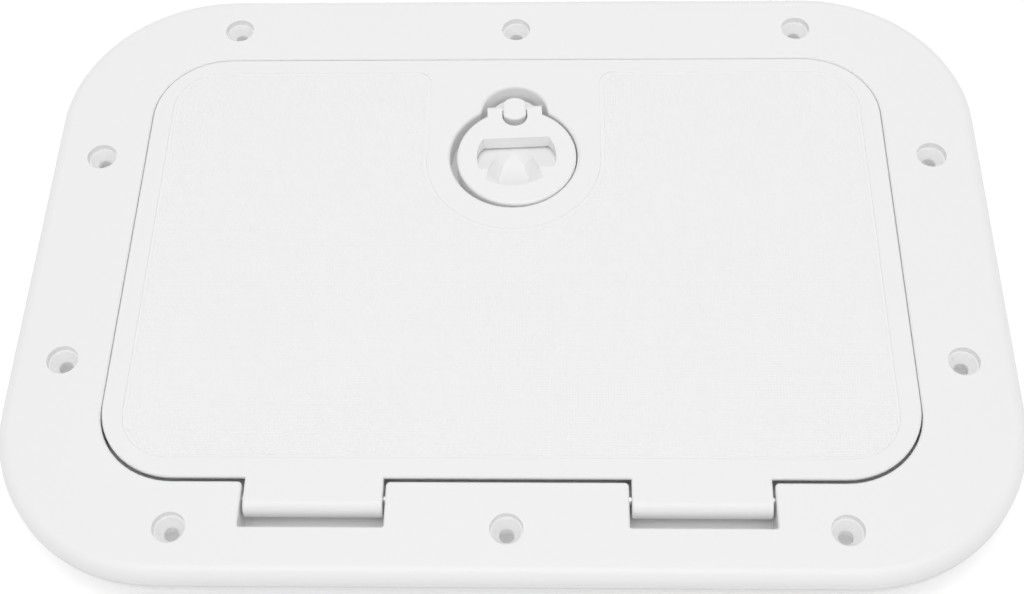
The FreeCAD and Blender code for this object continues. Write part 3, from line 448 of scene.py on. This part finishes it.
@dataclass
class LidMoulding:
    """The lid with its seal, and the non-slip tread on its sunken field."""

    node: str = "lid"
    seal_node: str = "lid_seal"
    body: str = "lid"
    field_half_length: float = 141.7 * MM
    field_near_y: float = -88.5 * MM
    field_far_y: float = 92.2 * MM
    field_corner_r: float = 19.0 * MM
    field_depth: float = 0.4 * MM
    pad_r: float = 35.4 * MM
    pad_y: float = 47.2 * MM
    pad_corner_r: float = 6.0 * MM
    margin: float = 0.9 * MM
    stud_pitch: float = 1.1 * MM
    stud_height: float = 0.12 * MM
    stud_lift: float = 0.02 * MM
    skirt_depth: float = 0.08 * MM
    level_normal_z: float = 0.9

    def build(self, palette: Palette) -> None:
        """Dresses the lid and its seal, and adds the tread.

        Args:
            palette: the finishes.
        """
        dress(self.node, palette.lid_plastic)
        dress(self.seal_node, palette.seal_rubber)
        tread = self.make_tread()
        tread.data.materials.append(palette.lid_plastic)
        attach(tread, self.body)
        LOG.info("non_slip_tread: %d faces", len(tread.data.polygons))

    def is_on_field(self, x: float, y: float) -> bool:
        """Tells whether a whole stud stands on the sunken field.

        Args:
            x: the stud's place along the hinge line.
            y: its place towards the latch.

        Returns:
            True if it clears the field's round corners and the latch pad.
        """
        reach = self.margin + self.stud_pitch / 2
        half_x = self.field_half_length - reach
        near_y = self.field_near_y + reach
        far_y = self.field_far_y - reach
        if abs(x) > half_x or not near_y <= y <= far_y:
            return False
        corner_r = self.field_corner_r - reach
        past_x = abs(x) - (half_x - corner_r)
        past_y = max(near_y + corner_r - y, y - (far_y - corner_r))
        if past_x > 0 and past_y > 0 and math.hypot(past_x, past_y) > corner_r:
            return False
        pad_r = self.pad_r + reach
        if math.hypot(x, y - self.pad_y) < pad_r or (abs(x) < pad_r and y > self.pad_y):
            return False
        turn_r = self.pad_corner_r - reach
        turn_x = pad_r + turn_r - abs(x)
        turn_y = y - (far_y - turn_r)
        return turn_x <= 0 or turn_y <= 0 or math.hypot(turn_x, turn_y) <= turn_r

    def make_tread(self) -> bpy.types.Object:
        """Models the tread: a grid trimmed to the field, closed below and poked into low pyramids.

        Returns:
            The new piece.
        """
        lid_top_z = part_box("frame")[1].z
        floor_z = lid_top_z - self.field_depth + self.stud_lift
        tread = self.make_grid(floor_z)
        self.trim_to_field(tread)
        self.close_below()
        self.raise_studs(tread, floor_z)
        return tread

    def make_grid(self, floor_z: float) -> bpy.types.Object:
        """Adds a flat grid over the whole field, one face for each stud.

        Args:
            floor_z: the grid's height.

        Returns:
            The new piece, with its place in its mesh.
        """
        length = 2 * (self.field_half_length - self.margin)
        width = self.field_far_y - self.field_near_y - 2 * self.margin
        columns = int(length / self.stud_pitch)
        rows = int(width / self.stud_pitch)
        bpy.ops.object.select_all(action="DESELECT")
        bpy.ops.mesh.primitive_grid_add(
            x_subdivisions=columns, y_subdivisions=rows, size=1.0,
            location=(0.0, (self.field_near_y + self.field_far_y) / 2, floor_z))
        tread = bpy.context.object
        tread.name = "non_slip_tread"
        tread.scale = (columns * self.stud_pitch, rows * self.stud_pitch, 1.0)
        bpy.ops.object.transform_apply(location=True, rotation=True, scale=True)
        return tread

    def trim_to_field(self, tread: bpy.types.Object) -> None:
        """Deletes the faces that lie off the sunken field, and stays in edit mode.

        Args:
            tread: the flat grid.
        """
        outside = [not self.is_on_field(face.center.x, face.center.y) for face in tread.data.polygons]
        bpy.ops.object.mode_set(mode="EDIT")
        bpy.ops.mesh.select_all(action="DESELECT")
        bpy.ops.mesh.select_mode(type="FACE")
        bpy.ops.object.mode_set(mode="OBJECT")
        tread.data.polygons.foreach_set("select", outside)
        bpy.ops.object.mode_set(mode="EDIT")
        bpy.ops.mesh.delete(type="FACE")

    def close_below(self) -> None:
        """Gives the trimmed grid a short skirt and a bottom, and leaves edit mode."""
        bpy.ops.mesh.select_mode(type="EDGE")
        bpy.ops.mesh.select_all(action="DESELECT")
        bpy.ops.mesh.select_non_manifold()
        bpy.ops.mesh.extrude_region_move(
            TRANSFORM_OT_translate={"value": (0.0, 0.0, -self.skirt_depth)})
        bpy.ops.mesh.edge_face_add()
        bpy.ops.object.mode_set(mode="OBJECT")

    def raise_studs(self, tread: bpy.types.Object, floor_z: float) -> None:
        """Pokes each face of the grid up into a low pyramid.

        Args:
            tread: the closed grid.
            floor_z: the grid's height.
        """
        lowest_z = floor_z - self.skirt_depth / 2
        upward = [face.normal.z > self.level_normal_z and face.center.z > lowest_z
                  for face in tread.data.polygons]
        bpy.ops.object.mode_set(mode="EDIT")
        bpy.ops.mesh.select_mode(type="FACE")
        bpy.ops.mesh.select_all(action="DESELECT")
        bpy.ops.object.mode_set(mode="OBJECT")
        tread.data.polygons.foreach_set("select", upward)
        bpy.ops.object.mode_set(mode="EDIT")
        bpy.ops.mesh.poke(offset=self.stud_height)
        bpy.ops.mesh.select_all(action="SELECT")
        bpy.ops.mesh.normals_make_consistent(inside=False)
        bpy.ops.object.mode_set(mode="OBJECT")


@dataclass
class FlushLatch:
    """The lift-and-turn latch: handle, spindle, cam and the small parts between them."""

    plastic_nodes: tuple[str, ...] = ("latch_handle", "latch_spindle")
    washer_nodes: tuple[str, ...] = ("thrust_washer", "spring_washer", "cam_washer", "cam_screw")
    pin_node: str = "handle_pin"
    cam_node: str = "latch_cam"
    seal_node: str = "spindle_seal"

    def build(self, palette: Palette) -> None:
        """Dresses every piece of the latch.

        Args:
            palette: the finishes.
        """
        for node in self.plastic_nodes:
            dress(node, palette.latch_plastic)
        for node in self.washer_nodes:
            dress(node, palette.washer_steel)
        dress(self.pin_node, palette.dull_rod_steel)
        dress(self.cam_node, palette.cam_plastic)
        dress(self.seal_node, palette.seal_rubber)


@dataclass
class SoftLamp:
    """One square soft lamp that points at the hatch."""

    name: str
    place: tuple[float, float, float]
    size: float
    watts: float

    def build(self) -> None:
        """Adds the lamp, turned towards the origin."""
        data = bpy.data.lights.new(self.name, "AREA")
        data.shape = "SQUARE"
        data.size = self.size
        data.energy = self.watts
        lamp = bpy.data.objects.new(self.name, data)
        lamp.location = self.place
        lamp.rotation_mode = "QUATERNION"
        lamp.rotation_quaternion = (-Vector(self.place)).to_track_quat("-Z", "Y")
        bpy.context.scene.collection.objects.link(lamp)


@dataclass(frozen=True)
class RoundOutline:
    """A rectangle with round corners on the table, with a soft inner edge."""

    centre: tuple[float, float]
    half_size: tuple[float, float]
    corner_r: float
    blend: float

    def mask(self, builder: NodeTree, inside: float, outside: float) -> bpy.types.NodeSocket:
        """Makes a value that is steady inside the outline and steady outside it.

        Args:
            builder: the builder on the table's tree.
            inside: the value inside.
            outside: the value outside.

        Returns:
            The value's socket.
        """
        place = builder.add("ShaderNodeTexCoord")
        split = builder.add("ShaderNodeSeparateXYZ", None, {0: place.outputs["Object"]})
        squares = []
        for axis, centre, half in zip("XY", self.centre, self.half_size):
            offset = builder.maths("SUBTRACT", split.outputs[axis], centre)
            from_centre = builder.maths("ABSOLUTE", offset)
            past_straight = builder.maths("SUBTRACT", from_centre, half - self.corner_r)
            past_straight = builder.maths("MAXIMUM", past_straight, 0.0)
            squares.append(builder.maths("MULTIPLY", past_straight, past_straight))
        from_corner = builder.maths("SQRT", builder.maths("ADD", squares[0], squares[1]))
        blend = builder.add("ShaderNodeMapRange", {"interpolation_type": "SMOOTHSTEP"}, {
            "Value": from_corner,
            "From Min": self.corner_r - self.blend,
            "From Max": self.corner_r,
            "To Min": inside,
            "To Max": outside,
        })
        return blend.outputs["Result"]


@dataclass
class Studio:
    """A white table, a white world and soft lamps above."""

    floor_size: float = 8.0
    floor_shade: float = 0.86
    floor_roughness: float = 0.9
    floor_glow: float = 0.4
    shaded_glow: float = 0.16
    hatch_outline: RoundOutline = RoundOutline(
        centre=(-0.7 * MM, 13.7 * MM), half_size=(193 * MM, 138.5 * MM), corner_r=64 * MM,
        blend=11 * MM)
    collar_outline: RoundOutline = RoundOutline(
        centre=(0.0, 0.85 * MM), half_size=(153.5 * MM, 102.5 * MM), corner_r=34 * MM,
        blend=0.5 * MM)
    world_strength: float = 0.525
    lamps: tuple[SoftLamp, ...] = (
        SoftLamp("overhead_lamp", place=(0.0, -0.5, 3.4), size=2.4, watts=43.0),
        SoftLamp("back_lamp", place=(0.0, 1.6, 2.3), size=1.6, watts=5.0),
        SoftLamp("front_lamp", place=(0.3, -2.6, 0.9), size=1.6, watts=5.0),
    )

    def build(self) -> None:
        """Adds the floor, the world and the lamps, and sets the view transform."""
        bpy.context.scene.view_settings.view_transform = "Standard"
        self.make_floor()
        self.make_world()
        for lamp in self.lamps:
            lamp.build()

    def background_rays(self, builder: NodeTree) -> bpy.types.NodeSocket:
        """Finds the rays that should see a plain white background.

        Args:
            builder: the builder on the tree.

        Returns:
            A socket that is 1 for camera, glossy and transmission rays.
        """
        path = builder.add("ShaderNodeLightPath")
        seen = builder.maths("MAXIMUM", path.outputs["Is Camera Ray"], path.outputs["Is Glossy Ray"])
        return builder.maths("MAXIMUM", seen, path.outputs["Is Transmission Ray"])

    def clear_share(self, builder: NodeTree) -> bpy.types.NodeSocket:
        """Finds where the table lets rays through: from below, and for light inside the collar.

        Args:
            builder: the builder on the table's tree.

        Returns:
            A socket that is 1 where the table is clear and 0 where it is solid.
        """
        path = builder.add("ShaderNodeLightPath")
        unseen = builder.maths("SUBTRACT", 1.0, path.outputs["Is Camera Ray"])
        window = builder.maths("MULTIPLY", self.collar_outline.mask(builder, 1.0, 0.0), unseen)
        from_below = builder.add("ShaderNodeNewGeometry").outputs["Backfacing"]
        return builder.maths("MAXIMUM", from_below, window)

    def table_material(self) -> bpy.types.Material:
        """Makes the white of the table top, which glows less round the hatch.

        Returns:
            The new material.
        """
        material = bpy.data.materials.new("table_white")
        material.use_nodes = True
        builder = NodeTree(material.node_tree)
        shader = material.node_tree.nodes["Principled BSDF"]
        shader.inputs["Base Color"].default_value = (*[self.floor_shade] * 3, 1.0)
        shader.inputs["Roughness"].default_value = self.floor_roughness
        shader.inputs["Specular IOR Level"].default_value = 0.0
        shader.inputs["Emission Color"].default_value = (1.0, 1.0, 1.0, 1.0)
        glow = self.hatch_outline.mask(builder, self.shaded_glow, self.floor_glow)
        glow = builder.maths("MULTIPLY", self.background_rays(builder), glow)
        material.node_tree.links.new(glow, shader.inputs["Emission Strength"])
        clear = builder.add("ShaderNodeBsdfTransparent")
        sides = builder.add("ShaderNodeMixShader", None, {
            0: self.clear_share(builder), 1: shader.outputs["BSDF"], 2: clear.outputs["BSDF"]})
        output = material.node_tree.nodes["Material Output"]
        material.node_tree.links.new(sides.outputs["Shader"], output.inputs["Surface"])
        return material

    def make_floor(self) -> None:
        """Adds the table top at the height of the hatch's lowest point."""
        bpy.ops.object.select_all(action="DESELECT")
        bpy.ops.mesh.primitive_plane_add(size=self.floor_size, location=(0.0, 0.0, CAD_BOX[0].z))
        floor = bpy.context.object
        floor.name = "table"
        floor.data.materials.append(self.table_material())

    def make_world(self) -> None:
        """Makes the world white to look at and softer as a light."""
        world = bpy.data.worlds.new("white_room")
        bpy.context.scene.world = world
        world.use_nodes = True
        builder = NodeTree(world.node_tree)
        background = world.node_tree.nodes["Background"]
        background.inputs["Color"].default_value = (1.0, 1.0, 1.0, 1.0)
        strength = builder.add("ShaderNodeMapRange", None, {
            "Value": self.background_rays(builder),
            "To Min": self.world_strength,
            "To Max": 1.0,
        })
        world.node_tree.links.new(strength.outputs["Result"], background.inputs["Strength"])


@dataclass
class PhotographCamera:
    """The camera at the photograph's place, found from the ten screw holes."""

    place: tuple[float, float, float] = (18.4 * MM, -350.6 * MM, 520.8 * MM)
    heading_deg: float = -3.11
    tilt_deg: float = 57.07
    roll_deg: float = -2.59
    focal_px: float = 1600.2
    image_width_px: float = 1024.0
    sensor_mm: float = 36.0

    def build(self) -> None:
        """Adds the camera and makes it the scene's own."""
        heading = math.radians(self.heading_deg)
        tilt = math.radians(self.tilt_deg)
        roll = math.radians(self.roll_deg)
        ahead = Vector((
            math.sin(heading) * math.cos(tilt), math.cos(heading) * math.cos(tilt), -math.sin(tilt)))
        level = Vector((math.cos(heading), -math.sin(heading), 0.0))
        upright = level.cross(ahead)
        right = level * math.cos(roll) + upright * math.sin(roll)
        up = upright * math.cos(roll) - level * math.sin(roll)
        data = bpy.data.cameras.new("photograph_camera")
        data.sensor_width = self.sensor_mm
        data.lens = self.focal_px * self.sensor_mm / self.image_width_px
        camera = bpy.data.objects.new("photograph_camera", data)
        turn = Matrix((right, up, -ahead)).transposed()
        camera.matrix_world = Matrix.Translation(self.place) @ turn.to_4x4()
        bpy.context.scene.collection.objects.link(camera)
        bpy.context.scene.camera = camera


def main() -> None:
    """Builds the studio and dresses the hatch, one sub-assembly after another."""
    logging.basicConfig(level=logging.INFO, format="%(name)s: %(message)s")
    PhotographCamera().build()
    Studio().build()
    palette = Palette()
    for assembly in (FrameMoulding(), Hinges(), LidMoulding(), FlushLatch()):
        assembly.build(palette)


if __name__ == "__main__":
    main()
